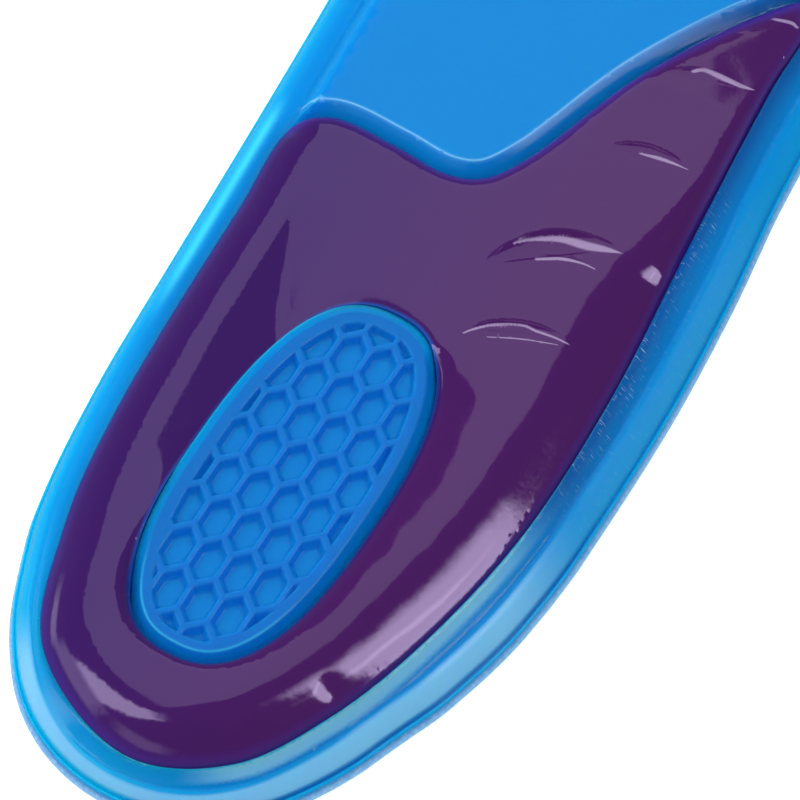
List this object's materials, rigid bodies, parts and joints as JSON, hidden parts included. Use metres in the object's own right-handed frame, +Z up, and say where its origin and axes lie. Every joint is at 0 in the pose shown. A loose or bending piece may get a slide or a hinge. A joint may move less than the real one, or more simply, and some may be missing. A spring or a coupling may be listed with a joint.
{
  "type": "gel insole",
  "caption": "Right-hand gel shoe insole lying sole up, with a heel cup, a poured heel and arch pad round a honeycomb island, and a thin cloth cover.",
  "frame": {"origin": "middle of the insole's box, on the surface that it lies on, foot side down", "axes": "+Y to the toe, +X to the inner side of the foot, +Z up, out of the sole"},
  "size_m": [0.0922, 0.285, 0.0114],
  "materials": {
    "blue_gel": "glossy translucent blue gel",
    "purple_gel": "very glossy deep purple gel",
    "cover_cloth": "pale lilac-blue knitted cloth with a cut edge"
  },
  "bodies": {
    "root": {"gel_base": "blue_gel", "heel_arch_pad": "purple_gel", "top_cover": "cover_cloth"}
  },
  "joints": []
}
